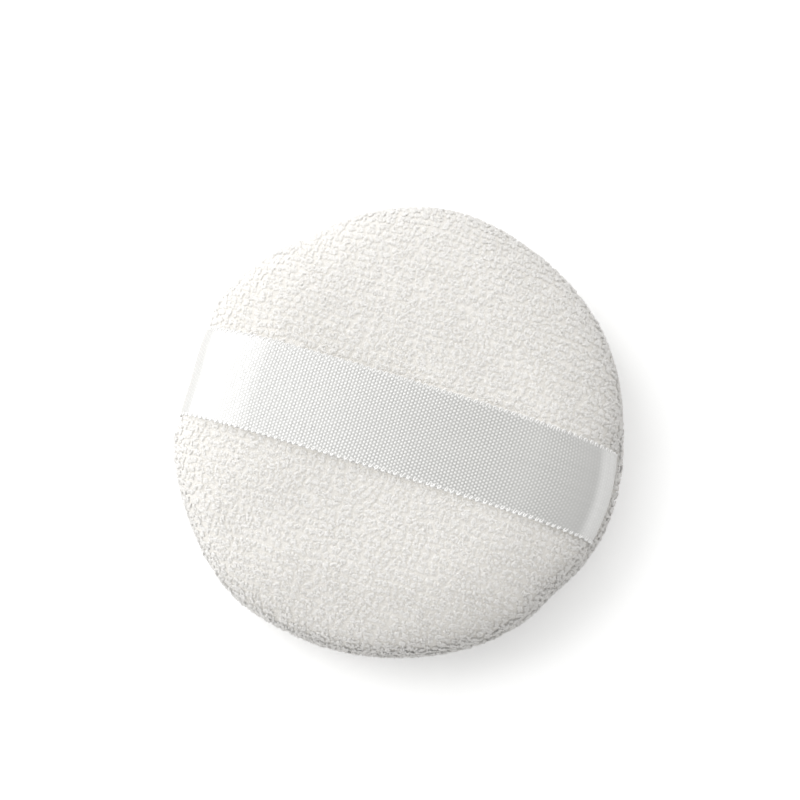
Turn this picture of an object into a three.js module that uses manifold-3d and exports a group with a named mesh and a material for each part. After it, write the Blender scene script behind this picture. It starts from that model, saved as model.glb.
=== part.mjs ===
// Round velour powder puff with a satin finger ribbon.
// Millimetres, +Z up. The puff lies on its applicator face, whose middle is the origin.
// The ribbon runs along X over the grip face, and its two ends are caught in the edge seam.

import * as THREE from 'three';
import { mergeGeometries, mergeVertices } from 'three/addons/utils/BufferGeometryUtils.js';
import Module from 'manifold-3d';

const wasm = await Module();
wasm.setup();

// Overall pad
const puffDiameter = 70;
const puffThickness = 15;
const gripFlatRadius = 22;
const restFlatRadius = 23;
const crownFullness = 2;

// Sewn edge: the cloth rolls in to the seam, and its allowance lies inside the pad
const edgeRoll = 1.6;
const seamGroove = 1.2;
const coverThickness = 2;
const seamAllowance = 4.6;
const allowanceThickness = 1.1;
const clearance = 0.3;

// Satin ribbon: its sewn-in ends fold over the shoulder, a set distance inside the pad's edge
const ribbonWidth = 15;
const ribbonThickness = 0.35;
const ribbonFold = 5;
const ribbonSlack = 1.2;
const pilePress = 0.15;

// Seam threads, along the middle of the allowance, with a hand-sewn stretch where the pad was turned
const threadDiameter = 0.3;
const stitchPitch = 4.5;
const stitchLoop = 0.7;
const turningGap = 36;

// Facets
const turnSegments = 40;
const domeSteps = 7;
const rollSteps = 3;
const innerSteps = 2;
const bandSteps = 16;

// Sizes that follow from the driving ones
const puffRadius = puffDiameter / 2;
const halfThickness = puffThickness / 2;
const seamHeight = halfThickness;
const halfSeamGap = clearance / 2;
const foldRadius = puffRadius - seamGroove;
const allowanceRadius = foldRadius - seamAllowance;
const allowanceTop = halfSeamGap + allowanceThickness;
const innerRadius = puffRadius - coverThickness;
const innerHeight = halfThickness - coverThickness;
const foamRadius = allowanceRadius - clearance;
const shoulder = puffRadius - ribbonFold;
const stitchRadius = (foldRadius + allowanceRadius) / 2;
const stitchesAround = 2 * Math.round((Math.PI * stitchRadius) / stitchPitch);
const closingHoles = 2 * Math.floor(turningGap / stitchPitch / 2) + 1;
const stitchAngle = (2 * Math.PI) / stitchesAround;
const closingMiddle = Math.PI / 2;
const threadRun = allowanceTop + clearance + threadDiameter / 2;
const threadLock = threadDiameter + clearance;
const innerWallTop = threadRun + threadDiameter / 2 + clearance;

const velour = new THREE.MeshStandardMaterial({ color: 0xece8e0, roughness: 0.95, metalness: 0 });
const satin = new THREE.MeshStandardMaterial({ color: 0xf3f2ee, roughness: 0.35, metalness: 0 });
const foam = new THREE.MeshStandardMaterial({ color: 0xf0ead6, roughness: 0.9, metalness: 0 });
const thread = new THREE.MeshStandardMaterial({ color: 0xf2f0ea, roughness: 0.6, metalness: 0 });

const point = (radius, height) => new THREE.Vector2(radius, height);

// A quarter of an oval in equal angles, each given as two shares to a function that places a point
function quarter(steps, fullness, place) {
  const points = [];
  for (let i = 0; i <= steps; i += 1) {
    const angle = (i / steps) * (Math.PI / 2);
    const outward = Math.sin(angle) ** (2 / fullness);
    const upward = Math.max(0, Math.cos(angle)) ** (2 / fullness);
    points.push(place(outward, upward));
  }
  return points;
}

// Pillowed face, flat in the middle and rounded to its rim, from the middle outwards
function dome(steps, flat, rim, base, top) {
  return quarter(steps, crownFullness, (outward, upward) =>
    point(flat + (rim - flat) * outward, base + (top - base) * upward));
}

// Height of the grip face above the seam at a distance from the middle
function gripHeight(radius) {
  const share = Math.max(0, radius - gripFlatRadius) / (puffRadius - gripFlatRadius);
  const upward = (1 - share ** crownFullness) ** (1 / crownFullness);
  return edgeRoll + (halfThickness - edgeRoll) * upward;
}

// Outer face of a cover, from the edge of its flat middle to the fold at the seam
function outerFace(flat) {
  const face = dome(domeSteps, flat, puffRadius, edgeRoll, halfThickness);
  const roll = quarter(rollSteps, 2, (inward, outward) =>
    point(foldRadius + seamGroove * outward, edgeRoll - (edgeRoll - halfSeamGap) * inward));
  return [...face, ...roll.slice(1)];
}

// Inner face of a cover, from the edge of its flat middle to the room for the seam thread
function innerFace(flat) {
  return dome(innerSteps, flat, innerRadius, innerWallTop, innerHeight);
}

// Section of a cover: outer face, seam allowance turned inwards, inner face
function coverSection(flat) {
  return [
    point(0, halfThickness),
    ...outerFace(flat),
    point(allowanceRadius, halfSeamGap),
    point(allowanceRadius, allowanceTop),
    point(innerRadius, allowanceTop),
    ...innerFace(flat).reverse(),
    point(0, innerHeight),
  ];
}

// Solid of revolution about Z from a section in radius and height above the seam
function turned(section, side) {
  const placed = section.map((p) => point(p.x, seamHeight + side * p.y));
  const upward = side > 0 ? placed.reverse() : placed;
  const geometry = new THREE.LatheGeometry(upward, turnSegments);
  geometry.rotateX(Math.PI / 2);
  return geometry;
}

// Closed solid for joining and cutting, from positions alone
function solid(source) {
  const bare = source.clone();
  bare.deleteAttribute('normal');
  bare.deleteAttribute('uv');
  const merged = mergeVertices(bare);
  const triVerts = [];
  const index = merged.index.array;
  for (let i = 0; i < index.length; i += 3) {
    const [a, b, c] = [index[i], index[i + 1], index[i + 2]];
    if (a !== b && b !== c && c !== a) {
      triVerts.push(a, b, c);
    }
  }
  return new wasm.Manifold(new wasm.Mesh({
    numProp: 3,
    vertProperties: new Float32Array(merged.attributes.position.array),
    triVerts: new Uint32Array(triVerts),
  }));
}

function geometryOf(body) {
  const mesh = body.getMesh();
  const geometry = new THREE.BufferGeometry();
  geometry.setAttribute('position', new THREE.BufferAttribute(new Float32Array(mesh.vertProperties), 3));
  geometry.setIndex(new THREE.BufferAttribute(new Uint32Array(mesh.triVerts), 1));
  geometry.computeVertexNormals();
  return geometry;
}

function block(low, high) {
  const size = high.map((value, axis) => value - low[axis]);
  const geometry = new THREE.BoxGeometry(...size);
  geometry.translate(...low.map((value, axis) => value + size[axis] / 2));
  return geometry;
}

// Points moved sideways from a path, to the left of its direction
function offsetPath(path, distance) {
  return path.map((p, i) => {
    const before = path[Math.max(0, i - 1)];
    const after = path[Math.min(path.length - 1, i + 1)];
    const along = after.clone().sub(before).normalize();
    return point(p.x + along.y * -distance, p.y + along.x * distance);
  });
}

// Section of a sewn-in ribbon end: over the shoulder, round the rolled edge, in between the allowances.
// A grown section is the room that the covers leave for it.
function ribbonEndSection(grow) {
  const route = [...outerFace(gripFlatRadius), point(allowanceRadius - grow, halfSeamGap)];
  const inside = offsetPath(route, -pilePress - grow);
  const outside = offsetPath(route, -pilePress + ribbonThickness + grow);
  return [...outside, ...inside.reverse(), outside[0].clone()];
}

function ribbonEnd(grow) {
  const ring = solid(turned(ribbonEndSection(grow), 1));
  const halfWidth = ribbonWidth / 2 + grow;
  const near = shoulder + clearance - grow;
  const overShoulder = block([near, -halfWidth, 0], [puffDiameter, halfWidth, puffThickness * 2]);
  const inSeam = block([0, -halfWidth, 0], [puffDiameter, halfWidth, seamHeight + edgeRoll]);
  return ring.intersect(solid(overShoulder).add(solid(inSeam)));
}

// Free span of the ribbon: rests on the shoulders and stands slightly slack over the crown
function ribbonBand(grow) {
  const lower = [];
  const upper = [];
  const reach = shoulder + grow;
  for (let i = 0; i <= bandSteps; i += 1) {
    const x = reach * ((2 * i) / bandSteps - 1);
    const share = Math.min(1, Math.abs(x) / shoulder);
    const rise = (ribbonSlack + pilePress) * (1 - share * share) ** 2 - pilePress;
    const face = gripHeight(Math.abs(x)) + rise;
    lower.push(point(x, seamHeight + face - grow));
    upper.push(point(x, seamHeight + face + ribbonThickness + grow));
  }
  const depth = ribbonWidth + 2 * grow;
  const shape = new THREE.Shape([...lower, ...upper.reverse()]);
  const geometry = new THREE.ExtrudeGeometry(shape, { depth, bevelEnabled: false });
  geometry.rotateX(Math.PI / 2);
  geometry.translate(0, depth / 2, 0);
  return geometry;
}

// Stitch number to its angle round the pad: the closing stitches have the middle of the back
function holeAngle(number) {
  return closingMiddle + (number - stitchesAround + (closingHoles + 1) / 2) * stitchAngle;
}

// Openings that the threads leave in every layer of the seam
function stitchHoles() {
  const along = stitchLoop + threadDiameter + 2 * clearance;
  const across = threadDiameter + 2 * clearance;
  const holes = [];
  for (let i = 0; i < stitchesAround; i += 1) {
    const hole = new THREE.BoxGeometry(across, along, 2 * threadRun);
    hole.translate(stitchRadius, 0, seamHeight);
    hole.rotateZ(holeAngle(i));
    holes.push(hole);
  }
  return solid(mergeGeometries(holes));
}

// Path that bends sharply at each of its points
class ThreadPath extends THREE.Curve {
  constructor(points) {
    super();
    this.points = points;
  }

  getPoint(t) {
    return this.points[Math.round(t * (this.points.length - 1))].clone();
  }

  getTangent(t) {
    const i = Math.round(t * (this.points.length - 1));
    const last = this.points.length - 1;
    const into = this.points[Math.max(1, i)].clone().sub(this.points[Math.max(0, i - 1)]);
    const out = this.points[Math.min(last, i + 1)].clone().sub(this.points[Math.min(last - 1, i)]);
    return into.normalize().add(out.normalize()).normalize();
  }

  getPointAt(u) {
    return this.getPoint(u);
  }

  getTangentAt(u) {
    return this.getTangent(u);
  }
}

function seamPoint(angle, height) {
  const x = stitchRadius * Math.cos(angle);
  const y = stitchRadius * Math.sin(angle);
  return new THREE.Vector3(x, y, seamHeight + height);
}

function threadTube(points) {
  const half = threadDiameter / 2;
  const section = new THREE.Shape([point(half, 0), point(0, half), point(-half, 0), point(0, -half)]);
  const path = new ThreadPath(points);
  return new THREE.ExtrudeGeometry(section, { steps: points.length - 1, extrudePath: path });
}

// Lockstitch thread of one side: runs along the allowance and dips to the lock at each hole
function lockstitch(side) {
  const halfLoop = stitchLoop / 2 / stitchRadius;
  const points = [];
  for (let i = 0; i < stitchesAround - closingHoles; i += 1) {
    const angle = holeAngle(i);
    points.push(seamPoint(angle - halfLoop, side * threadRun));
    points.push(seamPoint(angle - halfLoop, (side * threadLock) / 2));
    points.push(seamPoint(angle + halfLoop, (side * threadLock) / 2));
    points.push(seamPoint(angle + halfLoop, side * threadRun));
  }
  return threadTube(points);
}

// Closing thread: runs in one allowance and then the other, crossing over at each hole
function closingStitch() {
  const points = [];
  for (let i = 0; i < closingHoles; i += 1) {
    const angle = holeAngle(stitchesAround - closingHoles + i);
    const from = i % 2 === 0 ? -threadRun : threadRun;
    points.push(seamPoint(angle, from), seamPoint(angle, -from));
  }
  return threadTube(points);
}

// Part of an outward path that lies within a radius, ended on that radius
function within(path, radius) {
  const after = path.findIndex((p) => p.x > radius);
  const [inner, outer] = [path[after - 1], path[after]];
  const end = inner.clone().lerp(outer, (radius - inner.x) / (outer.x - inner.x));
  return [...path.slice(0, after), end];
}

// Foam disc that fills the covers inside the seam allowance
function foamCore() {
  const face = (flat, side) => {
    const path = within([point(0, innerHeight), ...innerFace(flat)], foamRadius);
    return path.map((p) => point(p.x, side * (p.y - clearance)));
  };
  return turned([...face(gripFlatRadius, 1), ...face(restFlatRadius, -1).reverse()], 1);
}

function named(name, geometry, material) {
  const mesh = new THREE.Mesh(geometry, material);
  mesh.name = name;
  return mesh;
}

const holes = stitchHoles();
const rightEnd = ribbonEnd(0);
const turnedBack = new THREE.Matrix4().makeRotationZ(Math.PI);
const endRoom = geometryOf(ribbonEnd(clearance));
const endRooms = solid(mergeGeometries([endRoom, endRoom.clone().applyMatrix4(turnedBack)]));
const bandRoom = solid(ribbonBand(clearance));
const rightEndGeometry = geometryOf(rightEnd.subtract(holes));
const gripBody = solid(turned(coverSection(gripFlatRadius), 1));
const restBody = solid(turned(coverSection(restFlatRadius), -1));
const gripCover = gripBody.subtract(endRooms).subtract(bandRoom).subtract(holes);
const restCover = restBody.subtract(endRooms).subtract(holes);

const puff = new THREE.Group();
puff.add(named('applicator_cover', geometryOf(restCover), velour));
puff.add(named('grip_cover', geometryOf(gripCover), velour.clone()));
puff.add(named('foam_core', foamCore(), foam));
puff.add(named('ribbon_band', ribbonBand(0), satin));
puff.add(named('ribbon_end_right', rightEndGeometry, satin.clone()));
puff.add(named('ribbon_end_left', rightEndGeometry.clone().applyMatrix4(turnedBack), satin.clone()));
puff.add(named('seam_needle_thread', lockstitch(1), thread));
puff.add(named('seam_bobbin_thread', lockstitch(-1), thread.clone()));
puff.add(named('closing_thread', closingStitch(), thread.clone()));

export default puff;
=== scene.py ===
import math

import bpy
import numpy as np
from mathutils import Matrix, Vector


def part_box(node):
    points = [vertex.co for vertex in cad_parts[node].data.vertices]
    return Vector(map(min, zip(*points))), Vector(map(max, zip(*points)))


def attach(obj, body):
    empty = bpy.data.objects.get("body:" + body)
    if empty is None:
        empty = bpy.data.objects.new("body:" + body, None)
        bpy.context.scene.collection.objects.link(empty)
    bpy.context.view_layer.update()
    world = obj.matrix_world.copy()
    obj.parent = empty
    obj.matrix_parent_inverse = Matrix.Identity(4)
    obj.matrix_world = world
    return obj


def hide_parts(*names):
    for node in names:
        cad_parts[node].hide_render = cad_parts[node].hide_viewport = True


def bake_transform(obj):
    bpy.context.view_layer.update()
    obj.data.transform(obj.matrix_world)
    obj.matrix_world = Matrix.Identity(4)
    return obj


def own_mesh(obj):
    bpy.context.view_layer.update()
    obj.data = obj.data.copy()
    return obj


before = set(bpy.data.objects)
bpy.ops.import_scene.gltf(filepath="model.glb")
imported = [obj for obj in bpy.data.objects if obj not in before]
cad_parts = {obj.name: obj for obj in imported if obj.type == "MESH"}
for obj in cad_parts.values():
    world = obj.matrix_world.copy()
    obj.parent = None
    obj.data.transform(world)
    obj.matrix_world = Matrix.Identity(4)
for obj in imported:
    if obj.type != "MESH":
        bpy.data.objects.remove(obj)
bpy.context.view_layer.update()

# Sizes in metres. Those that the solids show are read from the frame.
MM = 0.001
TURN = 2 * math.pi
grip_low, grip_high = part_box("grip_cover")
rest_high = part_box("applicator_cover")[1]
band_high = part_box("ribbon_band")[1]
foam_low, foam_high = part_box("foam_core")

# Pad: two velour covers that roll in to a seam at half height
PAD_RADIUS = grip_high.y
SEAM_HEIGHT = (grip_low.z + rest_high.z) / 2
HALF_HEIGHT = grip_high.z - SEAM_HEIGHT
HALF_SEAM_GAP = grip_low.z - SEAM_HEIGHT
CROWN_FULLNESS = 2
GRIP_FLAT = 22 * MM
REST_FLAT = 23 * MM
EDGE_ROLL = 1.6 * MM
SEAM_GROOVE = 1.2 * MM
COVER_THICKNESS = 2 * MM
SEAM_ALLOWANCE = 4.6 * MM
ALLOWANCE_THICKNESS = 1.1 * MM
ALLOWANCE_INSET = 0.6 * MM
FOLD_RADIUS = PAD_RADIUS - SEAM_GROOVE
ALLOWANCE_RADIUS = FOLD_RADIUS - SEAM_ALLOWANCE

# Small hills of the filled covers, and the pucker that the stitches draw near the seam
SWELL = 0.14 * MM
SWELL_SIZE = 9 * MM
STITCHES = 44
PUCKER = 0.07 * MM
PUCKER_START = 0.86 * PAD_RADIUS
PUCKER_WIDTH = 0.14 * PAD_RADIUS

# Uneven outline of the sewn pad: heading and width of each bulge or dent in degrees, and its size
LUMPS = (
    (96, 18, 1.0 * MM),
    (133, 9, -0.75 * MM),
    (161, 9, 0.35 * MM),
    (183, 10, -0.8 * MM),
    (240, 14, 0.85 * MM),
    (288, 20, -0.45 * MM),
    (332, 8, -0.7 * MM),
    (18, 14, -0.6 * MM),
)
LUMPS_START = 18 * MM

# Filling of the covers: a short cloth simulation on a coarse copy, at a size that suits the solver
FILL_STEP = 3
FILL_SCALE = 20
FILL_FRAMES = 20
FILL_PRESSURE = 4
FILL_LIMIT = 0.6 * MM
FILL_START = 0.95
FILL_EASE = 3
SEAM_RINGS = 4

# Ribbon: over the grip face along X, its ends folded over the shoulders into the seam
RIBBON_THICKNESS = 0.35 * MM
FACE_LEVEL = 0.72 * RIBBON_THICKNESS
BACK_LEVEL = 0.1 * RIBBON_THICKNESS
LOOP_OUT = 0.2 * MM
RIBBON_HALF_WIDTH = band_high.y - LOOP_OUT
SHOULDER = band_high.x
RIBBON_SLACK = 0.75 * (band_high.z - RIBBON_THICKNESS - grip_high.z)
PILE_PRESS = 0.15 * MM
RIBBON_ARCH = 1.25
RIBBON_BOW = 0.35 * MM
RIBBON_ASIDE = -0.55 * MM
END_PULL = 0.8 * MM
END_PULL_EASE = 4 * MM

# Satin: pitch of its picks and ends, and five ends to a repeat that shifts by three
PICK = 0.508 * MM
END = 0.110 * MM
REPEAT = 5
SHIFT = 3
RELIEF = 0.022 * MM
WEAVE_STEP = 0.09 * MM
WEAVE_DRIFT = 0.05 * MM
DRIFT_SIZE = 4 * MM
WEAVE_PATCH = 0.7 * MM
WEAVE_EDGE = 0.3 * MM

# Distances from the ribbon's middle from where its floats lie tighter, are drawn flat and get a painted
# highlight that makes them look lighter, and how much lighter each end is painted
TIGHT_START = 14 * MM
TIGHT_EASE = 9 * MM
FLAT_START = 25 * MM
FLAT_EASE = 7 * MM
END_HIGHLIGHT_START = 32.5 * MM
END_HIGHLIGHT_EASE = 3 * MM
END_HIGHLIGHT_LEFT = 0.12
END_HIGHLIGHT_RIGHT = 0.5

# A loop of weft at the ribbon's edge: along the ribbon, out past its edge, and above its lower face
LOOP_PATH = MM * np.array(
    [
        [-0.30, -0.50, 0.14],
        [-0.23, -0.18, 0.24],
        [-0.14, 0.00, 0.25],
        [0.02, 0.05, 0.22],
        [0.18, -0.01, 0.19],
        [0.18, -0.20, 0.18],
        [0.10, -0.50, 0.10],
    ]
)
LOOP_RADIUS = 0.15 * MM
LOOP_SHIFT = 0.14
LOOP_SIDES = 6
LOOP_STEPS = 14
LOOPS_STOP = 0.4 * MM

# Pile: bundles of tufts in the courses and wales of the knitted ground,
# which lies below the pad's outer face
PILE_DEPTH = 0.42 * MM
COURSE = 1.19 * MM
WALE = 0.79 * MM
COURSE_JITTER = 0.09
WALE_JITTER = 0.26
WANDER = 0.2 * COURSE
WANDER_SIZE = 7 * MM
BUNDLE = 6
BUNDLE_ALONG = 0.27 * MM
BUNDLE_ACROSS = 0.37 * MM
PILE_PATCH = 2.6 * MM
NAP = math.radians(53)
NAP_SIZE = 5 * MM
RIM_START = 29 * MM

# A tuft's size, how far it starts below the ground's face, and how short it gets towards the seam
TUFT_HEIGHT = 0.42 * MM
TUFT_REACH = 0.30 * MM
TUFT_RADIUS = 0.20 * MM
TUFT_ROOT = 0.08 * MM
SHORT_START = 0.95
SHORT_WIDTH = 0.05
SHORTER = 0.35

# Tufts under the ribbon: how flat they may lie, their room below it, and how far past its edge
FLAT_TUFT = 0.12 * MM
RIBBON_ROOM = 0.2 * MM
PRESS_MARGIN = 0.3 * MM

# Form of a tuft from root to tip: rise, lean and curl at its stations, and its girth below the tip
STATIONS = np.array([0, 0.45, 0.8, 1])
RISE = np.array([0, 0.62, 0.95, 1])
LEAN = np.array([0, 0.15, 0.55, 1])
CURL = np.array([0, 0.05, 0.4, 1])
GIRTH = np.array([0.9, 1.15, 0.9])
SIDES = 4

# Share of its bundle's dome in a tuft's shading, and how round that dome is
SOFTNESS = 0.8
DOME = 0.18

# Foam: a disc with a rounded edge and small pits
FOAM_FULLNESS = 4
FOAM_FLAT = 0.5 * foam_high.y
FOAM_SHRINK = 0.02
PIT = 0.12 * MM
PIT_SIZE = 1.5 * MM

# Height of the lowest pile above the floor, and the least radius to divide by
FLOOR_GAP = 0.02 * MM
LEAST_RADIUS = 1 * MM

# Detail of the ground cloth's grid, of smooth outlines and of the hidden faces
RINGS = 72
SEGMENTS = 180
FINE = 120
ROUTE_POINTS = 900
INNER_STEPS = 14
BACK_COLUMNS = 9
FOAM_STEPS = 20
FOAM_SEGMENTS = 96
FLOOR_SEGMENTS = 64


def soft_waves(x, y, size, seed, count=9):
    """Smooth random field over a plane, about -1 to 1, with hills of roughly the given size."""
    rng = np.random.default_rng(seed)
    total = np.zeros_like(x)
    for _ in range(count):
        heading = rng.uniform(0, TURN)
        stretch = rng.uniform(0.6, 1.6)
        phase = rng.uniform(0, TURN)
        along = x * math.cos(heading) + y * math.sin(heading)
        total += np.sin(TURN * along * stretch / (2 * size) + phase)
    return total / math.sqrt(count)


def smooth_step(share):
    """A share from 0 to 1, eased at both ends."""
    share = np.clip(share, 0, 1)
    return share * share * (3 - 2 * share)


def unit(vectors):
    """Vectors of length one."""
    length = np.linalg.norm(vectors, axis=-1, keepdims=True)
    return vectors / np.maximum(length, 1e-12)


def quarter(fullness, count):
    """Outward and upward shares along a quarter of an oval, round or fuller."""
    angle = np.linspace(0, math.pi / 2, count)
    outward = np.sin(angle) ** (2 / fullness)
    upward = np.maximum(0, np.cos(angle)) ** (2 / fullness)
    return outward, upward


def distances(path):
    """Distance along a path at each of its points."""
    steps = np.linalg.norm(np.diff(path, axis=0), axis=1)
    return np.concatenate([[0], np.cumsum(steps)])


def even_steps(path, count):
    """The same path in points an equal distance apart."""
    along = distances(path)
    at = np.linspace(0, along[-1], count)
    columns = [np.interp(at, along, path[:, k]) for k in range(path.shape[1])]
    return np.stack(columns, axis=1)


def path_normals(path):
    """Directions to the left of a flat path: outwards on a section that runs from the middle."""
    run = np.gradient(path, axis=0)
    run /= np.linalg.norm(run, axis=1, keepdims=True)
    return np.stack([-run[:, 1], run[:, 0]], axis=1)


def smooth_path(path, steps):
    """A rounded path through the given points."""
    padded = np.concatenate([[2 * path[0] - path[1]], path, [2 * path[-1] - path[-2]]])
    at = np.linspace(0, len(path) - 1, steps)
    low = np.minimum(at.astype(int), len(path) - 2)
    t = (at - low)[:, None]
    a, b, c, d = (padded[low + k] for k in range(4))
    square = (2 * a - 5 * b + 4 * c - d) * t**2
    cube = (3 * b - a - 3 * c + d) * t**3
    return 0.5 * (2 * b + (c - a) * t + square + cube)


# Meshes


def grid_quads(rows, columns, closed=False, first=0):
    """Faces of a grid of points, row by row, whose columns may close on themselves."""
    row = np.arange(rows - 1)[:, None]
    column = np.arange(columns if closed else columns - 1)[None, :]
    after = (column + 1) % columns
    corners = [row * columns + column, (row + 1) * columns + column]
    corners += [(row + 1) * columns + after, row * columns + after]
    shape = np.broadcast(row, column).shape
    return np.stack([np.broadcast_to(corner, shape).ravel() for corner in corners], axis=1) + first


def mesh_object(name, points, quads, triangles=None, outlines=()):
    """Smooth-shaded mesh object from arrays of points and faces, and a list of larger outlines."""
    groups = [np.asarray(quads, np.int32)]
    if triangles is not None:
        groups.append(np.asarray(triangles, np.int32))
    groups.extend(np.asarray([outline], np.int32) for outline in outlines)
    corners = np.concatenate([group.ravel() for group in groups])
    sizes = np.concatenate([np.full(len(group), group.shape[1], np.int32) for group in groups])
    starts = np.concatenate([[0], np.cumsum(sizes)[:-1]]).astype(np.int32)
    mesh = bpy.data.meshes.new(name)
    mesh.vertices.add(len(points))
    mesh.vertices.foreach_set("co", np.asarray(points, np.float32).ravel())
    mesh.loops.add(len(corners))
    mesh.loops.foreach_set("vertex_index", corners)
    mesh.polygons.add(len(sizes))
    mesh.polygons.foreach_set("loop_start", starts)
    mesh.polygons.foreach_set("use_smooth", np.ones(len(sizes), bool))
    mesh.update(calc_edges=True)
    mesh.validate()
    made = bpy.data.objects.new(name, mesh)
    bpy.context.scene.collection.objects.link(made)
    return made


def keep_sharp(obj, ends):
    """Edges between the given points stay sharp, so that faces beside them shade as if they went on."""
    pairs = np.zeros(len(obj.data.edges) * 2, np.int32)
    obj.data.edges.foreach_get("vertices", pairs)
    sharp = np.isin(pairs.reshape(-1, 2), ends).all(axis=1)
    obj.data.edges.foreach_set("use_edge_sharp", sharp)


def point_values(obj, name, values):
    """A number for each point, which the material reads by name."""
    attribute = obj.data.attributes.new(name, "FLOAT", "POINT")
    attribute.data.foreach_set("value", np.asarray(values, np.float32).ravel())


def surface_map(obj, across, along):
    """A flat map of the piece, from two numbers for each point between 0 and 1."""
    layer = obj.data.uv_layers.new(name="OFBake")
    corners = np.zeros(len(obj.data.loops), np.int32)
    obj.data.loops.foreach_get("vertex_index", corners)
    flat = np.stack([np.ravel(across), np.ravel(along)], axis=1)
    layer.data.foreach_set("uv", flat[corners].astype(np.float32).ravel())


# Shape of the pad and of the ribbon's route over it


def cover_face(flat):
    """Radius and height above the seam of a cover's outer face, from its middle to the seam fold."""
    outward, upward = quarter(CROWN_FULLNESS, FINE)
    face_radius = flat + (PAD_RADIUS - flat) * outward
    face_height = EDGE_ROLL + (HALF_HEIGHT - EDGE_ROLL) * upward
    inward, round_out = quarter(2, FINE)
    roll_radius = FOLD_RADIUS + SEAM_GROOVE * round_out
    roll_height = EDGE_ROLL - (EDGE_ROLL - HALF_SEAM_GAP) * inward
    radius = np.concatenate([[0], face_radius, roll_radius[1:]])
    height = np.concatenate([[HALF_HEIGHT], face_height, roll_height[1:]])
    return np.stack([radius, height], axis=1)


def grip_height(radius):
    """Height of the grip face above the seam at a distance from the middle."""
    share = np.clip((radius - GRIP_FLAT) / (PAD_RADIUS - GRIP_FLAT), 0, 1)
    upward = (1 - share ** CROWN_FULLNESS) ** (1 / CROWN_FULLNESS)
    return EDGE_ROLL + (HALF_HEIGHT - EDGE_ROLL) * upward


def ribbon_middle(away):
    """Where the ribbon's middle line runs at a distance from its middle: sewn aside and bowed."""
    return RIBBON_ASIDE + RIBBON_BOW * np.maximum(0, 1 - (away / PAD_RADIUS) ** 2)


def ribbon_rise(away):
    """Height of the ribbon's lower face above the grip face: an arch over the pad, pressed in past it."""
    share = np.minimum(1, away / SHOULDER)
    return (RIBBON_SLACK + PILE_PRESS) * (1 - share * share) ** RIBBON_ARCH - PILE_PRESS


def ribbon_route():
    """Section of the ribbon's lower face, radius and height above the seam, from its middle on."""
    free = np.linspace(0, SHOULDER, FINE)
    span = np.stack([free, grip_height(free) + ribbon_rise(free)], axis=1)
    face = cover_face(GRIP_FLAT)
    pressed = face - PILE_PRESS * path_normals(face)
    past = distances(face) > distances(face)[np.argmax(face[:, 0] > SHOULDER)]
    tail = [[ALLOWANCE_RADIUS, HALF_SEAM_GAP + PILE_PRESS]]
    return np.concatenate([span, pressed[past], tail])


def uneven(points, side):
    """Points of the pad moved to its uneven outline; the ribbon's ends draw in the grip half's edge."""
    x = points[..., 0]
    y = points[..., 1]
    radius = np.hypot(x, y)
    heading = np.degrees(np.arctan2(y, x))
    move = np.zeros_like(radius)
    for middle, width, size in LUMPS:
        apart = (heading - middle + 180) % 360 - 180
        move += size * np.exp(-((apart / width) ** 2))
    if side > 0:
        beside = (np.abs(y) - RIBBON_HALF_WIDTH) / END_PULL_EASE
        move -= END_PULL * (1 - smooth_step(beside))
    outer = np.clip((radius - LUMPS_START) / (PAD_RADIUS - LUMPS_START), 0, 1.1) ** 2
    moved = points.copy()
    moved[..., :2] *= (1 + outer * move / np.maximum(radius, LEAST_RADIUS))[..., None]
    return moved


# Ground cloth


def fill_blank(coarse, side):
    """Coarse mesh of a cover for the cloth solver, with its seam as a group, and its points."""
    rows, columns = coarse.shape[:2]
    start = np.concatenate([coarse[0].mean(axis=0)[None], coarse[1:].reshape(-1, 3)]) * FILL_SCALE
    here = np.arange(columns)
    fan = np.stack([np.zeros(columns, int), 1 + here, 1 + (here + 1) % columns], axis=1)
    quads = grid_quads(rows - 1, columns, closed=True, first=1)
    if side < 0:
        fan = fan[:, ::-1]
        quads = quads[:, ::-1]
    blank = mesh_object("fill_blank", start, quads, fan)
    seam = blank.vertex_groups.new(name="seam")
    held = range(len(start) - SEAM_RINGS * columns, len(start))
    seam.add(list(held), 1.0, "REPLACE")
    return blank, start


def run_filling(blank):
    """Cloth simulation of a blank under pressure, held at its seam: the points where it ends."""
    cloth = blank.modifiers.new("filling", "CLOTH")
    cloth.settings.vertex_group_mass = "seam"
    cloth.settings.quality = 6
    cloth.settings.mass = 0.3
    cloth.settings.tension_stiffness = 60
    cloth.settings.compression_stiffness = 60
    cloth.settings.bending_stiffness = 0.5
    cloth.settings.tension_damping = 25
    cloth.settings.compression_damping = 25
    cloth.settings.air_damping = 10
    cloth.settings.use_pressure = True
    cloth.settings.uniform_pressure_force = FILL_PRESSURE
    cloth.settings.effector_weights.gravity = 0
    cloth.collision_settings.use_collision = False
    cloth.point_cache.frame_start = 1
    cloth.point_cache.frame_end = FILL_FRAMES
    for step in range(1, FILL_FRAMES + 1):
        bpy.context.scene.frame_set(step)
    shaped = blank.evaluated_get(bpy.context.evaluated_depsgraph_get())
    ended = np.zeros(len(blank.data.vertices) * 3, np.float32)
    shaped.data.vertices.foreach_get("co", ended)
    bpy.context.scene.frame_set(1)
    return ended.reshape(-1, 3)


def moved_along(grid, move):
    """A fine grid moved as its coarse points were, eased from point to point."""
    rows, columns = move.shape[:2]
    move = np.concatenate([move, move[:, :1]], axis=1)
    ring = np.arange(grid.shape[0]) / FILL_STEP
    turn = np.arange(grid.shape[1]) / FILL_STEP
    low = np.minimum(ring.astype(int), rows - 2)
    left = np.minimum(turn.astype(int), columns - 1)
    up = smooth_step(ring - low)[:, None, None]
    on = smooth_step(turn - left)[None, :, None]
    near = move[low][:, left] * (1 - on) + move[low][:, left + 1] * on
    far = move[low + 1][:, left] * (1 - on) + move[low + 1][:, left + 1] * on
    return grid + near * (1 - up) + far * up


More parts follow.
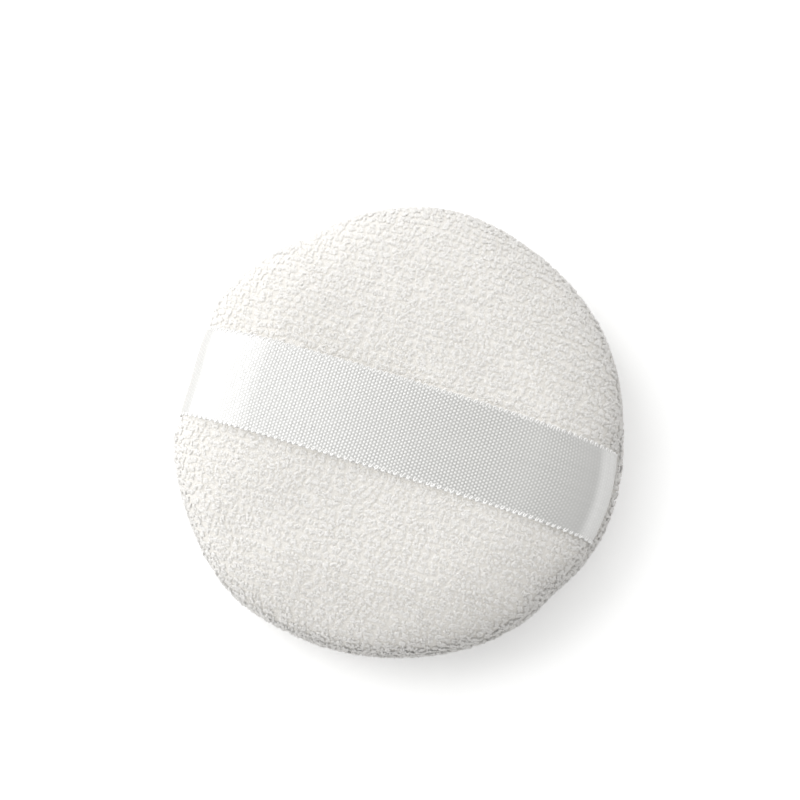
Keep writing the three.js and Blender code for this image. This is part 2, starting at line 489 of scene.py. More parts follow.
def fill_cloth(grid, side):
    """Ground cloth rounded by its filling, as far as the simulation moves it within a cap."""
    coarse = grid[::FILL_STEP, ::FILL_STEP]
    rows, columns = coarse.shape[:2]
    blank, start = fill_blank(coarse, side)
    move = (run_filling(blank) - start) / FILL_SCALE
    bpy.data.objects.remove(blank)
    move *= FILL_LIMIT / (FILL_LIMIT + np.linalg.norm(move, axis=1, keepdims=True))
    middle = np.broadcast_to(move[0], (1, columns, 3))
    move = np.concatenate([middle, move[1:].reshape(rows - 1, columns, 3)])
    for _ in range(FILL_EASE):
        move = (np.roll(move, 1, axis=1) + 2 * move + np.roll(move, -1, axis=1)) / 4
        move[1:-1] = (move[:-2] + 2 * move[1:-1] + move[2:]) / 4
    return moved_along(grid, move)


def ground_grid(flat, side, seed):
    """Points of a filled cover's ground cloth, in rings from the middle to the seam."""
    path = even_steps(cover_face(flat), RINGS + 1)
    ground = path - PILE_DEPTH * path_normals(path)
    ground[0, 0] = 0
    theta = np.arange(SEGMENTS) * TURN / SEGMENTS
    radius = ground[:, :1] * np.ones(SEGMENTS)
    height = ground[:, 1:] * np.ones(SEGMENTS)
    x = radius * np.cos(theta)
    y = radius * np.sin(theta)
    crown = np.clip(height / HALF_HEIGHT, 0, 1)
    height = height * (1 - (1 - FILL_START) * crown)
    grid = fill_cloth(np.stack([x, y, SEAM_HEIGHT + side * height], axis=2), side)
    swell = SWELL * soft_waves(x, y, SWELL_SIZE, seed)
    edge = np.clip((radius - PUCKER_START) / PUCKER_WIDTH, 0, 1)
    pucker = PUCKER * edge * np.cos(STITCHES * theta)
    grid[:, :, 2] += side * (swell + pucker) * crown
    return uneven(grid, side)


def grid_frames(grid, side):
    """Outward normals of a ground grid, and its tangents away from the middle and round the pad."""
    outward = np.gradient(grid, axis=0)
    around = np.roll(grid, -1, axis=1) - np.roll(grid, 1, axis=1)
    around[0] = around[1]
    normal = unit(side * np.cross(outward, around))
    around = unit(around)
    outward = unit(np.cross(around, normal) * side)
    return normal, outward, around


def at_place(values, ring, theta):
    """Values of a ground grid at any rings and angles, between its points."""
    low = np.clip(np.floor(ring).astype(int), 0, RINGS - 1)
    up = (ring - low)[:, None]
    turn = (theta / TURN * SEGMENTS) % SEGMENTS
    left = np.floor(turn).astype(int) % SEGMENTS
    right = (left + 1) % SEGMENTS
    on = (turn - np.floor(turn))[:, None]
    inner = values[low, left] * (1 - on) + values[low, right] * on
    outer = values[low + 1, left] * (1 - on) + values[low + 1, right] * on
    return inner * (1 - up) + outer * up


def cover_inside(flat, side):
    """Rings of a cover's seam allowance, turned in, and of its inner face up to the middle."""
    theta = np.arange(SEGMENTS) * TURN / SEGMENTS
    ring = np.stack([np.cos(theta), np.sin(theta)], axis=1)
    top = HALF_SEAM_GAP + ALLOWANCE_THICKNESS
    back_radius = PAD_RADIUS - COVER_THICKNESS
    outward, upward = quarter(CROWN_FULLNESS, INNER_STEPS)
    inner_radius = flat + (back_radius - flat) * outward[::-1]
    inner_height = top + (HALF_HEIGHT - COVER_THICKNESS - top) * upward[::-1]
    fold_radius = [ALLOWANCE_RADIUS, ALLOWANCE_RADIUS, back_radius - ALLOWANCE_INSET]
    radius = np.concatenate([fold_radius, inner_radius])
    height = np.concatenate([[HALF_SEAM_GAP, top, top], inner_height])
    inside = np.empty((len(radius), SEGMENTS, 3))
    inside[:, :, :2] = radius[:, None, None] * ring[None]
    inside[:, :, 2] = (SEAM_HEIGHT + side * height)[:, None]
    return inside


def cloth_shell(name, grid, flat, side):
    """Closed shell of a cover's ground cloth: outer face, seam allowance turned in, inner face."""
    rows = np.concatenate([grid[1:], cover_inside(flat, side)])
    points = rows.reshape(-1, 3)
    middle_out = len(points)
    middle_in = middle_out + 1
    centre = [grid[0].mean(axis=0), [0, 0, SEAM_HEIGHT + side * (HALF_HEIGHT - COVER_THICKNESS)]]
    points = np.concatenate([points, centre])
    quads = grid_quads(len(rows), SEGMENTS, closed=True)
    here = np.arange(SEGMENTS)
    after = (here + 1) % SEGMENTS
    last = (len(rows) - 1) * SEGMENTS
    start_fan = np.stack([np.full(SEGMENTS, middle_out), here, after], axis=1)
    end_fan = np.stack([np.full(SEGMENTS, middle_in), last + after, last + here], axis=1)
    triangles = np.concatenate([start_fan, end_fan])
    if side < 0:
        quads = quads[:, ::-1]
        triangles = triangles[:, ::-1]
    return mesh_object(name, points, quads, triangles)


# Pile


def tuft_places(length, seed):
    """Tufts on the flat cloth, in bundles along courses and wales that wander.

    Gives their places, their ways out of the bundle and the bundle that each belongs to.
    """
    rng = np.random.default_rng(seed)
    x, y = np.meshgrid(np.arange(-length, length, WALE), np.arange(-length, length, COURSE))
    x = x.ravel()
    y = y.ravel()
    wander = WANDER * soft_waves(x, y, WANDER_SIZE, seed + 5)
    x = x + rng.normal(0, WALE_JITTER, x.size) * WALE
    y = y + rng.normal(0, COURSE_JITTER, y.size) * COURSE + wander
    spots = (x.size, BUNDLE)
    turn = rng.uniform(0, TURN, x.size)[:, None] + np.arange(BUNDLE) * TURN / BUNDLE
    turn = turn + rng.normal(0, 0.3, spots)
    away = rng.uniform(0.25, 1.3, spots)
    out_x = (away * np.cos(turn)).ravel()
    out_y = (away * np.sin(turn)).ravel()
    bundle = np.repeat(np.arange(x.size), BUNDLE)
    x = x[bundle] + BUNDLE_ALONG * out_x
    y = y[bundle] + BUNDLE_ACROSS * out_y
    kept = np.hypot(x, y) < length
    return x[kept], y[kept], out_x[kept], out_y[kept], bundle[kept]


def tuft_rings(base, normal, lean, height, reach, curl, girth):
    """Points of bent, tapered tufts, ring by ring up to the tip, and the way out of the tuft at each."""
    side = np.cross(normal, lean)
    up = RISE[None, :, None] * height[:, None, None] * normal[:, None, :]
    out = LEAN[None, :, None] * reach[:, None, None] * lean[:, None, :]
    bend = CURL[None, :, None] * curl[:, None, None] * side[:, None, :]
    spine = base[:, None, :] + up + out + bend
    run = unit(np.gradient(spine, axis=1))
    across = unit(side[:, None, :] - run * np.sum(run * side[:, None, :], axis=2, keepdims=True))
    upper = np.cross(run, across)
    rings = []
    spokes = []
    for station, thick in enumerate(GIRTH):
        for corner in range(SIDES):
            angle = TURN * (corner / SIDES + 0.25)
            spoke = math.cos(angle) * across[:, station] + math.sin(angle) * upper[:, station]
            rings.append(spine[:, station] + thick * girth[:, None] * spoke)
            spokes.append(spoke)
    rings.append(spine[:, -1])
    spokes.append(run[:, -1])
    return np.stack(rings, axis=1), np.stack(spokes, axis=1)


def tuft_faces(count):
    """Faces of a number of tufts: sides between their rings, and a pointed tip."""
    tip = len(GIRTH) * SIDES
    last = tip - SIDES
    quads = []
    for low in range(0, last, SIDES):
        for corner in range(SIDES):
            after = (corner + 1) % SIDES
            quads.append([low + corner, low + after, low + SIDES + after, low + SIDES + corner])
    triangles = [[last + c, last + (c + 1) % SIDES, tip] for c in range(SIDES)]
    offset = (np.arange(count) * (tip + 1))[:, None, None]
    all_quads = (np.array(quads)[None] + offset).reshape(-1, 4)
    all_triangles = (np.array(triangles)[None] + offset).reshape(-1, 3)
    return all_quads, all_triangles


def tuft_mesh(name, dome, tint, **form):
    """Tufts in one mesh, each with its own form and tint, and shaded softly as part of its bundle."""
    points, spokes = tuft_rings(**form)
    count, per_tuft = points.shape[:2]
    made = mesh_object(name, points.reshape(-1, 3), *tuft_faces(count))
    shading = unit(SOFTNESS * dome[:, None, :] + (1 - SOFTNESS) * spokes)
    made.data.normals_split_custom_set_from_vertices(shading.reshape(-1, 3))
    along = np.concatenate([np.repeat(STATIONS[:3], SIDES), [1]])
    along = np.broadcast_to(along, (count, per_tuft))
    tints = np.broadcast_to(tint[:, None], (count, per_tuft))
    width = np.concatenate([np.tile(np.linspace(-1, 1, SIDES), len(GIRTH)), [0]]) * 0.004
    point_values(made, "along", along)
    point_values(made, "tint", tints)
    surface_map(made, 0.02 + 0.96 * tints + width, 0.02 + 0.96 * along)
    return made


def pressed_height(base, height):
    """Height of tufts on the grip face, laid flat where the ribbon bears on them."""
    x = np.abs(base[:, 0])
    under = np.abs(base[:, 1] - ribbon_middle(x)) < RIBBON_HALF_WIDTH + PRESS_MARGIN
    room = np.maximum(FLAT_TUFT, PILE_DEPTH + ribbon_rise(x) - RIBBON_ROOM)
    return np.where(under, np.minimum(height, room), height)


def pile_axes(grid, side, ring, theta):
    """Places on a ground grid, their normals, and the ways along and across the cloth's courses."""
    normals, outwards, arounds = grid_frames(grid, side)
    base = at_place(grid, ring, theta)
    normal = unit(at_place(normals, ring, theta))
    outward = unit(at_place(outwards, ring, theta))
    around = unit(at_place(arounds, ring, theta))
    along = np.cos(theta)[:, None] * outward - np.sin(theta)[:, None] * around
    across = np.sin(theta)[:, None] * outward + np.cos(theta)[:, None] * around
    return base, normal, along, across


def pile(prefix, grid, flat, side, seed, zones):
    """Tufts over a whole cover, made as one mesh for each zone."""
    rng = np.random.default_rng(seed + 1)
    length = distances(cover_face(flat))[-1]
    x, y, out_x, out_y, bundle = tuft_places(length, seed)
    count = len(x)
    share = np.hypot(x, y) / length
    base, normal, along, across = pile_axes(grid, side, share * RINGS, np.arctan2(y, x))
    spread = out_x[:, None] * along + out_y[:, None] * across
    heading = NAP + 0.5 * soft_waves(x, y, NAP_SIZE, seed + 3) + rng.normal(0, 0.5, count)
    lean = np.cos(heading)[:, None] * along + np.sin(heading)[:, None] * across + 0.6 * spread
    lean = unit(lean - normal * np.sum(lean * normal, axis=1, keepdims=True))
    patch = soft_waves(x, y, PILE_PATCH, seed + 2)
    of_bundle = rng.normal(0, 1, bundle.max() + 1)[bundle]
    height = TUFT_HEIGHT * (1 + 0.08 * patch + 0.08 * of_bundle) * rng.uniform(0.85, 1.1, count)
    height *= 1 - SHORTER * np.clip((share - SHORT_START) / SHORT_WIDTH, 0, 1)
    if side > 0:
        height = pressed_height(base, height)
    tufts = {
        "base": base - TUFT_ROOT * normal,
        "normal": normal,
        "lean": lean,
        "dome": unit(normal + DOME * spread),
        "height": height,
        "reach": TUFT_REACH * rng.uniform(0.5, 1.5, count),
        "curl": TUFT_REACH * rng.uniform(-0.5, 0.5, count),
        "girth": TUFT_RADIUS * rng.uniform(0.75, 1.2, count),
        "tint": np.clip(0.55 + 0.12 * patch + 0.12 * of_bundle + rng.normal(0, 0.12, count), 0, 1),
    }
    made = []
    for zone, chosen in zones(tufts["base"], share * length):
        of_zone = {name: values[chosen] for name, values in tufts.items()}
        made.append(tuft_mesh(f"{prefix}_{zone}", **of_zone))
    return made


def grip_zones(base, distance):
    """Zones of the grip face: both sides of the ribbon, under it, and the two halves of the rim."""
    rim = distance > RIM_START
    beside = np.abs(base[:, 1]) > RIBBON_HALF_WIDTH
    back = base[:, 1] > 0
    yield "back", ~rim & beside & back
    yield "front", ~rim & beside & ~back
    yield "under_ribbon", ~rim & ~beside
    yield "rim_back", rim & back
    yield "rim_front", rim & ~back


def rest_zones(base, distance):
    """Zones of the applicator face: the halves of its middle and of its rim."""
    rim = distance > RIM_START
    back = base[:, 1] > 0
    yield "back", ~rim & back
    yield "front", ~rim & ~back
    yield "rim_back", rim & back
    yield "rim_front", rim & ~back


def press_to_floor(obj):
    """The pile lies flat where it would pass below what the puff stands on."""
    points = np.zeros(len(obj.data.vertices) * 3, np.float32)
    obj.data.vertices.foreach_get("co", points)
    points = points.reshape(-1, 3)
    points[:, 2] = np.maximum(points[:, 2], FLOOR_GAP)
    obj.data.vertices.foreach_set("co", points.ravel())
    obj.data.update()


# Ribbon

ROUTE = even_steps(ribbon_route(), ROUTE_POINTS)
ROUTE_NORMAL = path_normals(ROUTE)
ROUTE_ALONG = distances(ROUTE)
HALF_LENGTH = ROUTE_ALONG[-1]


def ribbon_place(along, across, above):
    """Points on the ribbon at distances from its middle, across it and above its lower face."""
    away = np.abs(along)
    end = np.sign(along) + (along == 0)
    radius = np.interp(away, ROUTE_ALONG, ROUTE[:, 0])
    height = np.interp(away, ROUTE_ALONG, ROUTE[:, 1])
    out = np.interp(away, ROUTE_ALONG, ROUTE_NORMAL[:, 0])
    up = np.interp(away, ROUTE_ALONG, ROUTE_NORMAL[:, 1])
    wrap = smooth_step((radius - 0.5 * SHOULDER) / (0.5 * SHOULDER))
    turn = np.arcsin(np.clip(wrap * across / np.maximum(radius, LEAST_RADIUS), -1, 1))
    reach = radius * np.cos(turn) + above * out * np.cos(turn)
    y = across + above * out * np.sin(turn) + ribbon_middle(radius)
    z = SEAM_HEIGHT + height + above * up
    return uneven(np.stack([end * reach, y, z], axis=-1), 1)


def satin_relief(along, across):
    """Height of the satin's floats: a bump at each step of the weave's lattice."""
    drift = WEAVE_DRIFT * soft_waves(along, across, DRIFT_SIZE, 31)
    u = (along + drift) / PICK
    v = (across + drift * 0.5) / (REPEAT * END)
    slip = SHIFT / REPEAT
    picks = np.cos(TURN * u)
    twill = 0.85 * np.cos(TURN * (slip * u - v)) + np.cos(TURN * ((slip - 1) * u - v))
    patchy = 1 + 0.2 * soft_waves(along, across, WEAVE_PATCH, 32)
    tighter = 1 - 0.35 * smooth_step((along - TIGHT_START) / TIGHT_EASE)
    flatter = 1 - 0.8 * smooth_step((np.abs(along) - FLAT_START) / FLAT_EASE)
    return RELIEF * patchy * tighter * flatter * (1.1 * picks + twill) / 3


def ribbon_faces(rows, columns):
    """Faces of a ribbon half's woven face, plain back and edges, and the outlines of its two ends."""
    first_back = rows * columns
    face_quads = grid_quads(rows, columns)
    back_quads = grid_quads(rows, BACK_COLUMNS, first=first_back)[:, ::-1]
    row = np.arange(rows - 1)
    sides = []
    for column, back_column in ((0, 0), (columns - 1, BACK_COLUMNS - 1)):
        near = row * columns + column
        far = near + columns
        under = first_back + row * BACK_COLUMNS + back_column
        beyond = under + BACK_COLUMNS
        strip = np.stack([near, under, beyond, far], axis=1)
        sides.append(strip if column == 0 else strip[:, ::-1])
    quads = np.concatenate([face_quads, back_quads, *sides])
    middle_face = np.arange(columns)
    middle_back = first_back + np.arange(BACK_COLUMNS)
    middle = np.concatenate([middle_face, middle_back[::-1]])
    tail_face = (rows - 1) * columns + middle_face
    tail_back = (rows - 1) * BACK_COLUMNS + middle_back
    tail = np.concatenate([tail_face[::-1], tail_back])
    return quads, tail, middle


def ribbon_half(name, end):
    """One half of the ribbon, from its middle into the seam, with its woven face and plain back."""
    rows = int(HALF_LENGTH / WEAVE_STEP) + 1
    columns = int(2 * RIBBON_HALF_WIDTH / WEAVE_STEP) + 1
    along = end * np.linspace(0, HALF_LENGTH, rows)
    across = np.linspace(-RIBBON_HALF_WIDTH, RIBBON_HALF_WIDTH, columns)
    back_across = np.linspace(-RIBBON_HALF_WIDTH, RIBBON_HALF_WIDTH, BACK_COLUMNS)
    u, v = np.meshgrid(along, across, indexing="ij")
    back_u, back_v = np.meshgrid(along, back_across, indexing="ij")
    edge = np.clip((RIBBON_HALF_WIDTH - np.abs(v)) / WEAVE_EDGE, 0, 1)
    relief = satin_relief(u, v)
    face = ribbon_place(u, v, FACE_LEVEL + relief * edge)
    back = ribbon_place(back_u, back_v, np.full_like(back_u, BACK_LEVEL))
    points = np.concatenate([face.reshape(-1, 3), back.reshape(-1, 3)])
    quads, tail, middle = ribbon_faces(rows, columns)
    if end < 0:
        quads = quads[:, ::-1]
        tail = tail[::-1]
        middle = middle[::-1]
    made = mesh_object(name, points, quads, outlines=[tail, middle])
    keep_sharp(made, np.concatenate([tail, middle]))
    # Painted highlight: the folded ends are painted lighter, the right one most, in the same stored value
    # that paints light and shade on the floats.
    end_highlight = END_HIGHLIGHT_RIGHT if end > 0 else END_HIGHLIGHT_LEFT
    painted_light_level = relief / RELIEF * edge + end_highlight * smooth_step((np.abs(u) - END_HIGHLIGHT_START) / END_HIGHLIGHT_EASE)
    point_values(made, "float_and_end_painted_light", np.concatenate([painted_light_level.ravel(), np.zeros(back_u.size)]))
    length_share = np.abs(np.concatenate([u.ravel(), back_u.ravel()])) / HALF_LENGTH
    width_share = np.concatenate([v.ravel(), back_v.ravel()]) / RIBBON_HALF_WIDTH
    on_back = np.concatenate([np.zeros(u.size), np.ones(back_u.size)])
    surface_map(made, 0.01 + 0.98 * length_share, 0.25 + 0.23 * width_share + 0.5 * on_back)
    return made


def loop_points(u, v, above):
    """Points round a loop of weft, whose middle line is given along, across and above the ribbon."""
    angles = np.arange(LOOP_SIDES) * TURN / LOOP_SIDES
    centre = ribbon_place(u, v, above)
    run = unit(np.gradient(centre, axis=0))
    up = ribbon_place(u, v, above + 0.1 * MM) - centre
    across = unit(np.cross(run, up))
    over = np.cross(across, run)
    spoke = np.cos(angles)[None, :, None] * across[:, None]
    spoke = spoke + np.sin(angles)[None, :, None] * over[:, None]
    return (centre[:, None] + LOOP_RADIUS * spoke).reshape(-1, 3)


def selvedge(name, end):
    """Loops of weft along both edges of a ribbon half, one for every two picks."""
    rng = np.random.default_rng(41 if end > 0 else 42)
    starts = np.arange(PICK, HALF_LENGTH - SEAM_ALLOWANCE - LOOPS_STOP, 2 * PICK)
    loop = smooth_path(LOOP_PATH, LOOP_STEPS)
    points = []
    for edge in (-1, 1):
        for start in starts:
            size = rng.uniform(0.75, 1.12)
            shift = rng.uniform(-LOOP_SHIFT, LOOP_SHIFT) * MM
            u = end * start + size * loop[:, 0] * edge + shift
            v = edge * (RIBBON_HALF_WIDTH + size * loop[:, 1])
            points.append(loop_points(u, v, loop[:, 2]))
    count = len(points)
    per_loop = LOOP_STEPS * LOOP_SIDES
    quads = grid_quads(LOOP_STEPS, LOOP_SIDES, closed=True)
    quads = (quads[None] + (np.arange(count) * per_loop)[:, None, None]).reshape(-1, 4)
    caps = []
    for index in range(count):
        caps.append(index * per_loop + np.arange(LOOP_SIDES))
        caps.append((index + 1) * per_loop - 1 - np.arange(LOOP_SIDES))
    made = mesh_object(name, np.concatenate(points), quads, outlines=caps)
    along = np.tile(np.repeat(np.linspace(0, 1, LOOP_STEPS), LOOP_SIDES), count)
    around = np.tile(np.arange(LOOP_SIDES) / LOOP_SIDES, count * LOOP_STEPS)
    point_values(made, "along", along)
    surface_map(made, 0.05 + 0.9 * along, 0.05 + 0.9 * around)
    return made


# Foam


def foam_filling(name):
    """Soft disc of foam inside the covers, slightly pitted and rounded at its edge."""
    middle = (foam_low.z + foam_high.z) / 2
    half = (foam_high.z - foam_low.z) / 2
    outward, upward = quarter(FOAM_FULLNESS, FOAM_STEPS)
    upper_radius = FOAM_FLAT + (foam_high.y - FOAM_FLAT) * outward
    radius = np.concatenate([upper_radius, upper_radius[-2::-1]])
    height = np.concatenate([half * upward, -half * upward[-2::-1]])
    theta = np.arange(FOAM_SEGMENTS) * TURN / FOAM_SEGMENTS
    x = radius[:, None] * np.cos(theta)
    y = radius[:, None] * np.sin(theta)
    pits = PIT * soft_waves(x, y, PIT_SIZE, 61)
    z = middle + height[:, None] * (1 - FOAM_SHRINK - np.abs(pits) / half)
    points = np.stack([x, y, z], axis=2).reshape(-1, 3)
    quads = grid_quads(len(radius), FOAM_SEGMENTS, closed=True)
    top = np.arange(FOAM_SEGMENTS)
    bottom = len(points) - 1 - np.arange(FOAM_SEGMENTS)
    return mesh_object(name, points, quads, outlines=[top, bottom])


# Materials


def new_material(name):
    """A material with its node tree and its shader."""
    material = bpy.data.materials.new(name)
    material.use_nodes = True
    tree = material.node_tree
    return material, tree, tree.nodes["Principled BSDF"]


def add_node(tree, kind, **values):
    """A node of the given kind, with values for its sockets by name."""
    node = tree.nodes.new(kind)
    for socket, value in values.items():
        node.inputs[socket.replace("_", " ")].default_value = value
    return node


def in_place(tree, kind, **values):
    """A node that works in the piece's own space."""
    node = add_node(tree, kind, **values)
    place = tree.nodes.new("ShaderNodeTexCoord")
    tree.links.new(place.outputs["Object"], node.inputs["Vector"])
    return node


def stored_value(tree, name):
    """The number that the piece's points hold under a name."""
    node = tree.nodes.new("ShaderNodeAttribute")
    node.attribute_name = name
    return node.outputs["Fac"]


def map_range(tree, source, low, high, start=0.0, stop=1.0):
    """A number that runs from low to high while its source runs from start to stop."""
    node = add_node(tree, "ShaderNodeMapRange", From_Min=start, From_Max=stop, To_Min=low, To_Max=high)
    tree.links.new(source, node.inputs["Value"])
    return node.outputs["Result"]


def ramp(tree, source, low, high, start=0.0, stop=1.0):
    """A colour that runs from low to high while its source runs from start to stop."""
    node = tree.nodes.new("ShaderNodeValToRGB")
    node.color_ramp.elements[0].color = (*low, 1)
    node.color_ramp.elements[0].position = start
    node.color_ramp.elements[1].color = (*high, 1)
    node.color_ramp.elements[1].position = stop
    tree.links.new(source, node.inputs["Fac"])
    return node.outputs["Color"]


def multiply(tree, first, second):
    """Product of two colours."""
    node = tree.nodes.new("ShaderNodeMix")
    node.data_type = "RGBA"
    node.blend_type = "MULTIPLY"
    node.inputs["Factor"].default_value = 1
    tree.links.new(first, node.inputs[6])
    tree.links.new(second, node.inputs[7])
    return node.outputs[2]


def set_surface(tree, shader, colour, pattern, low, high):
    """The shader's colour, and a roughness from low to high that follows a pattern."""
    tree.links.new(colour, shader.inputs["Base Color"])
    tree.links.new(map_range(tree, pattern, low, high), shader.inputs["Roughness"])


def add_bump(tree, shader, pattern, strength, distance):
    """Fine relief that follows a pattern."""
    bump = add_node(tree, "ShaderNodeBump", Strength=strength, Distance=distance)
    tree.links.new(pattern, bump.inputs["Height"])
    tree.links.new(bump.outputs["Normal"], shader.inputs["Normal"])


def velour_pile_material():
    """Ivory pile with painted shade: darker and warmer towards the roots, pale at the tips, with tufts
    that differ a little.
    """
    material, tree, shader = new_material("velour_pile")
    along = stored_value(tree, "along")
    # Painted shade: the tufts throw no shadows, so their roots are painted darker instead.
    painted_root_shade = ramp(tree, along, (0.765, 0.748, 0.712), (0.885, 0.873, 0.855), 0.1, 0.9)
    tones = ramp(tree, stored_value(tree, "tint"), (0.96, 0.955, 0.945), (1.0, 1.0, 1.0))
    set_surface(tree, shader, multiply(tree, painted_root_shade, tones), along, 0.95, 0.78)
    shader.inputs["Sheen Weight"].default_value = 0.5
    shader.inputs["Sheen Roughness"].default_value = 0.45
    shader.inputs["Sheen Tint"].default_value = (1.0, 0.985, 0.95, 1)
    shader.inputs["Specular IOR Level"].default_value = 0.3
    return material


def velour_ground_material():
    """Knitted ground of the velour, painted as dark and warm as the pile's roots as painted shade between
    the tufts, with its loops as bumps.
    """
    material, tree, shader = new_material("velour_ground")
    loops = in_place(tree, "ShaderNodeTexVoronoi", Scale=2600.0).outputs["Distance"]
    patches = in_place(tree, "ShaderNodeTexNoise", Scale=300.0, Detail=4.0).outputs["Fac"]
    # Painted shade: the ground between the tufts is painted darker than their tips; the patches in it are
    # random tone.
    colour = ramp(tree, patches, (0.76, 0.74, 0.70), (0.82, 0.80, 0.765), 0.3, 0.7)
    set_surface(tree, shader, colour, patches, 0.85, 0.98)
    add_bump(tree, shader, loops, 0.6, 0.13 * MM)
    shader.inputs["Sheen Weight"].default_value = 0.2
    return material


def satin_material():
    """White satin with painted light: floats painted bright as glints, the lows between them painted
    darker as shade, folded ends painted lighter, and faint streaks along the warp.
    """
    material, tree, shader = new_material("satin_weave")
    stretch = in_place(tree, "ShaderNodeMapping", Scale=(60, 2500, 60))
    noise = add_node(tree, "ShaderNodeTexNoise", Scale=1.0, Detail=3.0)
    tree.links.new(stretch.outputs["Vector"], noise.inputs["Vector"])
    streaks = noise.outputs["Fac"]
    # Painted light: the higher a float, the brighter it is painted, as a glint; the lows between floats
    # are painted dark as shade.
    floats = map_range(tree, stored_value(tree, "float_and_end_painted_light"), 0.0, 1.0, -0.5, 1.0)
    painted_float_shading = ramp(tree, floats, (0.395, 0.392, 0.376), (0.84, 0.837, 0.82), 0.0, 0.8)
    tones = ramp(tree, streaks, (0.95, 0.95, 0.95), (1.0, 1.0, 1.0), 0.3, 0.7)
    set_surface(tree, shader, multiply(tree, painted_float_shading, tones), streaks, 0.20, 0.27)
    add_bump(tree, shader, streaks, 0.25, 0.03 * MM)
    # The gloss fades at a low angle, where the floats hide one another.
    facing = tree.nodes.new("ShaderNodeLayerWeight").outputs["Facing"]
    gloss = map_range(tree, facing, 1.0, 0.0, 0.45, 0.72)
    tree.links.new(gloss, shader.inputs["Specular IOR Level"])
    shader.inputs["IOR"].default_value = 1.8
    shader.inputs["Sheen Weight"].default_value = 0.08
    return material


def selvedge_material():
    """White weft loops of the ribbon's edges, with a painted highlight at their turn and painted shade
    where they go into the ribbon.
    """
    material, tree, shader = new_material("selvedge_loop")
    along = stored_value(tree, "along")
    turn = tree.nodes.new("ShaderNodeMath")
    turn.operation = "ABSOLUTE"
    tree.links.new(map_range(tree, along, -1.0, 1.0), turn.inputs[0])
    # Painted light and shade: lighter at the loop's outer turn, darker at its ends inside the ribbon.
    colour = ramp(tree, turn.outputs["Value"], (0.88, 0.877, 0.865), (0.78, 0.775, 0.76))
    set_surface(tree, shader, colour, along, 0.45, 0.6)
    shader.inputs["Sheen Weight"].default_value = 0.1
    return material


def foam_material():
    """Cream foam with open cells, painted darker in the cells' pits as painted shade."""
    material, tree, shader = new_material("foam_cells")
    cells = in_place(tree, "ShaderNodeTexVoronoi", Scale=1400.0).outputs["Distance"]
    # Painted shade: the colour darkens with the same pattern that sinks the pits.
    colour = ramp(tree, cells, (0.62, 0.55, 0.40), (0.87, 0.82, 0.68), 0.0, 0.5)
    set_surface(tree, shader, colour, cells, 0.8, 0.95)
    add_bump(tree, shader, cells, 0.6, 0.2 * MM)
    return material


def thread_material():
    """Ivory sewing thread with its twist, painted darker in the twist's grooves as painted shade."""
    material, tree, shader = new_material("twisted_thread")
    wave = in_place(tree, "ShaderNodeTexWave", Scale=900.0, Distortion=1.5)
    wave.bands_direction = "DIAGONAL"
    twist = wave.outputs["Fac"]
    # Painted shade: the colour darkens with the same twist pattern that lowers the grooves.
    colour = ramp(tree, twist, (0.76, 0.74, 0.68), (0.89, 0.87, 0.82))
    set_surface(tree, shader, colour, twist, 0.5, 0.7)
    add_bump(tree, shader, twist, 0.5, 0.05 * MM)
    return material


# The puff


def dress(obj, material):
    """Gives a piece its one material."""
    obj.data.materials.clear()
    obj.data.materials.append(material)


def let_light_through(obj):
    """Fine white pile and thin white satin pass light on, so they throw no hard shadows on the pad."""
    obj.visible_shadow = False


def ride_and_squash(obj):
    """The piece goes with the applicator half, on a copy of its mesh of its own."""
    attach(obj, "applicator")
    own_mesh(obj)


pile_material = velour_pile_material()
ground_material = velour_ground_material()
satin = satin_material()
loop_material = selvedge_material()

grip_grid = ground_grid(GRIP_FLAT, 1, 11)
grip_cloth = cloth_shell("grip_cloth", grip_grid, GRIP_FLAT, 1)
dress(grip_cloth, ground_material)
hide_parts("grip_cover")
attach(grip_cloth, "grip")
for tufts in pile("grip_pile", grip_grid, GRIP_FLAT, 1, 12, grip_zones):
    dress(tufts, pile_material)
    let_light_through(tufts)
    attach(tufts, "grip")

rest_grid = ground_grid(REST_FLAT, -1, 21)
rest_cloth = cloth_shell("applicator_cloth", rest_grid, REST_FLAT, -1)
dress(rest_cloth, ground_material)
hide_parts("applicator_cover")
ride_and_squash(rest_cloth)
for tufts in pile("applicator_pile", rest_grid, REST_FLAT, -1, 22, rest_zones):
    press_to_floor(tufts)
    dress(tufts, pile_material)
    let_light_through(tufts)
    ride_and_squash(tufts)

foam = foam_filling("foam_filling")
dress(foam, foam_material())
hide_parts("foam_core")
ride_and_squash(foam)

for side_name, end in (("left", -1), ("right", 1)):
    half = ribbon_half(f"ribbon_{side_name}", end)
    dress(half, satin)
    let_light_through(half)
    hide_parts(f"ribbon_end_{side_name}", "ribbon_band")
    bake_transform(half)
    loops = selvedge(f"ribbon_loops_{side_name}", end)
    dress(loops, loop_material)
    let_light_through(loops)
    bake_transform(loops)

thread = thread_material()
for node in ("seam_needle_thread", "seam_bobbin_thread", "closing_thread"):
    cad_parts[node].data.materials.clear()
    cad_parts[node].data.materials.append(thread)


# Floor, light and camera

WHITE = (1, 1, 1, 1)
LAMP_DISTANCE = 0.8


def camera_sees(tree, elsewhere, seen, surface):
    """One shader for what the camera sees itself and another for all other light."""
    path = tree.nodes.new("ShaderNodeLightPath")
    pick = tree.nodes.new("ShaderNodeMixShader")
    tree.links.new(path.outputs["Is Camera Ray"], pick.inputs["Fac"])
    tree.links.new(elsewhere, pick.inputs[1])
    tree.links.new(seen, pick.inputs[2])
    tree.links.new(pick.outputs["Shader"], surface)


